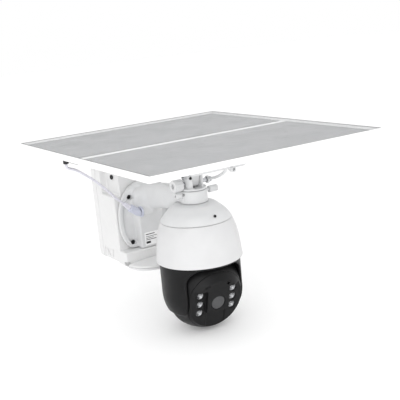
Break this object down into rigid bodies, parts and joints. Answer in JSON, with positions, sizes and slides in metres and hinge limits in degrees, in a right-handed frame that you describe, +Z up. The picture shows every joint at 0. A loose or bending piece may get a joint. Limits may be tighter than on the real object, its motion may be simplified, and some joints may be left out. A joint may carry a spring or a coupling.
{
  "type": "security camera",
  "caption": "Pan-and-tilt dome security camera on a curved wall arm, with a battery wall box and a solar panel on a swivel and tilt bracket above.",
  "frame": {"origin": "centre of the wall plate's back face, on the wall", "axes": "+Z up, +Y into the wall, the camera reaches out along -Y, +X to the right of a viewer who faces the wall"},
  "size_m": [0.3, 0.375, 0.2383],
  "materials": {
    "case_white": "satin white moulded ABS",
    "arm_white": "satin white powder coat on a casting",
    "dome_white": "smooth satin white moulding",
    "frame_white": "white lacquered aluminium frame",
    "back_sheet": "white laminate",
    "solar_cell": "grey silicon cells with fine grid lines",
    "panel_glass": "clear tempered glass",
    "head_black": "satin black moulded ABS",
    "lens_glass": "flat coated window",
    "lens_black": "black lens housing",
    "led_lamp": "clear lamps in bright cups",
    "sensor_white": "translucent white sensor lens",
    "lead_jacket": "pale grey-white PVC",
    "connector_grey": "blue-grey nylon",
    "button_grey": "grey silicone",
    "seal_rubber": "black rubber",
    "steel": "zinc-plated and stainless steel",
    "black_screw": "black oxide steel screws",
    "motor_steel": "drawn steel motor can",
    "bronze": "sintered bronze",
    "gear_plastic": "natural acetal",
    "circuit_board": "green solder mask",
    "inner_black": "black moulded plastic",
    "inner_white": "white moulded plastic",
    "battery_wrap": "blue shrink wrap"
  },
  "bodies": {
    "root": {"wall_plate": "steel", "rear_case": "case_white", "case_gasket": "seal_rubber", "front_case": "case_white", "case_screw_left": "black_screw", "case_screw_right": "black_screw", "battery_pack": "battery_wrap", "battery_tray": "inner_white", "main_board": "circuit_board", "antenna_strip": "inner_black", "speaker": "inner_black", "motion_hood": "case_white", "motion_lens": "sensor_white", "motion_sensor": "circuit_board", "arm_gasket": "seal_rubber", "arm": "arm_white", "flange_screw_1": "black_screw", "flange_screw_2": "black_screw", "flange_screw_3": "black_screw", "flange_screw_4": "black_screw", "lead_socket": "connector_grey", "lead_plug": "lead_jacket", "panel_lead": "lead_jacket", "dome_cap": "arm_white", "dome_skirt": "dome_white", "cap_screw_front": "black_screw", "cap_screw_rear": "black_screw", "pan_base": "inner_black", "pan_bearing": "steel", "pan_motor": "motor_steel", "slip_ring": "inner_black"},
    "power_button": {"power_button": "button_grey"},
    "reset_button": {"reset_button": "button_grey"},
    "clamp_bolt": {"clamp_bolt": "arm_white"},
    "pan_pinion": {"pan_pinion": "gear_plastic"},
    "head_yoke": {"yoke": "head_black", "pan_gear": "gear_plastic", "tilt_motor": "motor_steel", "bush_left": "bronze", "bush_right": "bronze"},
    "tilt_pinion": {"tilt_pinion": "gear_plastic"},
    "camera_ball": {"ball_shell": "head_black", "face_plate": "head_black", "lens_window": "lens_glass", "lens_barrel": "lens_black", "sensor_board": "circuit_board", "led_bank_left": "led_lamp", "led_bank_right": "led_lamp", "light_sensor": "lens_black", "tilt_gear": "gear_plastic"},
    "panel_swivel": {"swivel_fork": "arm_white", "tilt_bolt": "steel"},
    "tilt_knob": {"tilt_knob": "arm_white"},
    "solar_panel": {"panel_bracket": "arm_white", "panel_frame": "frame_white", "back_sheet": "back_sheet", "cells_front": "solar_cell", "cells_rear": "solar_cell", "panel_glass": "panel_glass", "junction_box": "inner_black"}
  },
  "joints": [
    {"name": "power_press", "type": "slide", "parent": "root", "child": "power_button", "axis": [-1, 0, 0], "range_m": [0, 0.0011], "stiffness_N_per_m": 300},
    {"name": "reset_press", "type": "slide", "parent": "root", "child": "reset_button", "axis": [-1, 0, 0], "range_m": [0, 0.0011], "stiffness_N_per_m": 300},
    {"name": "clamp_bolt_turn", "type": "hinge", "parent": "root", "child": "clamp_bolt", "pos_m": [0.0275, -0.204, 0.0486], "axis": [1, 0, 0], "range_deg": [0, 360]},
    {"name": "dome_pan", "type": "hinge", "parent": "root", "child": "head_yoke", "pos_m": [0, -0.204, -0.072], "axis": [0, 0, 1], "range_deg": [-172, 178]},
    {"name": "pan_pinion_spin", "type": "hinge", "parent": "root", "child": "pan_pinion", "pos_m": [0, -0.17395, -0.0095], "axis": [0, 0, 1], "continuous": true},
    {"name": "ball_tilt", "type": "hinge", "parent": "head_yoke", "child": "camera_ball", "pos_m": [0, -0.204, -0.072], "axis": [0.9986, -0.0523, 0], "range_deg": [-15, 75]},
    {"name": "tilt_pinion_spin", "type": "hinge", "parent": "head_yoke", "child": "tilt_pinion", "pos_m": [0, -0.204, -0.04645], "axis": [0.9986, -0.0523, 0], "continuous": true},
    {"name": "panel_swivel", "type": "hinge", "parent": "root", "child": "panel_swivel", "pos_m": [0, -0.204, 0.053], "axis": [0, 0, 1], "range_deg": [-90, 90]},
    {"name": "tilt_knob_turn", "type": "hinge", "parent": "panel_swivel", "child": "tilt_knob", "pos_m": [-0.022, -0.204, 0.061], "axis": [1, 0, 0], "range_deg": [0, 360]},
    {"name": "panel_tilt", "type": "hinge", "parent": "panel_swivel", "child": "solar_panel", "pos_m": [0, -0.204, 0.061], "axis": [1, 0, 0], "range_deg": [0, 40]}
  ],
  "couplings": [
    {"joint": "pan_pinion_spin", "follows": "dome_pan", "ratio": -3},
    {"joint": "tilt_pinion_spin", "follows": "ball_tilt", "ratio": -2.4}
  ]
}
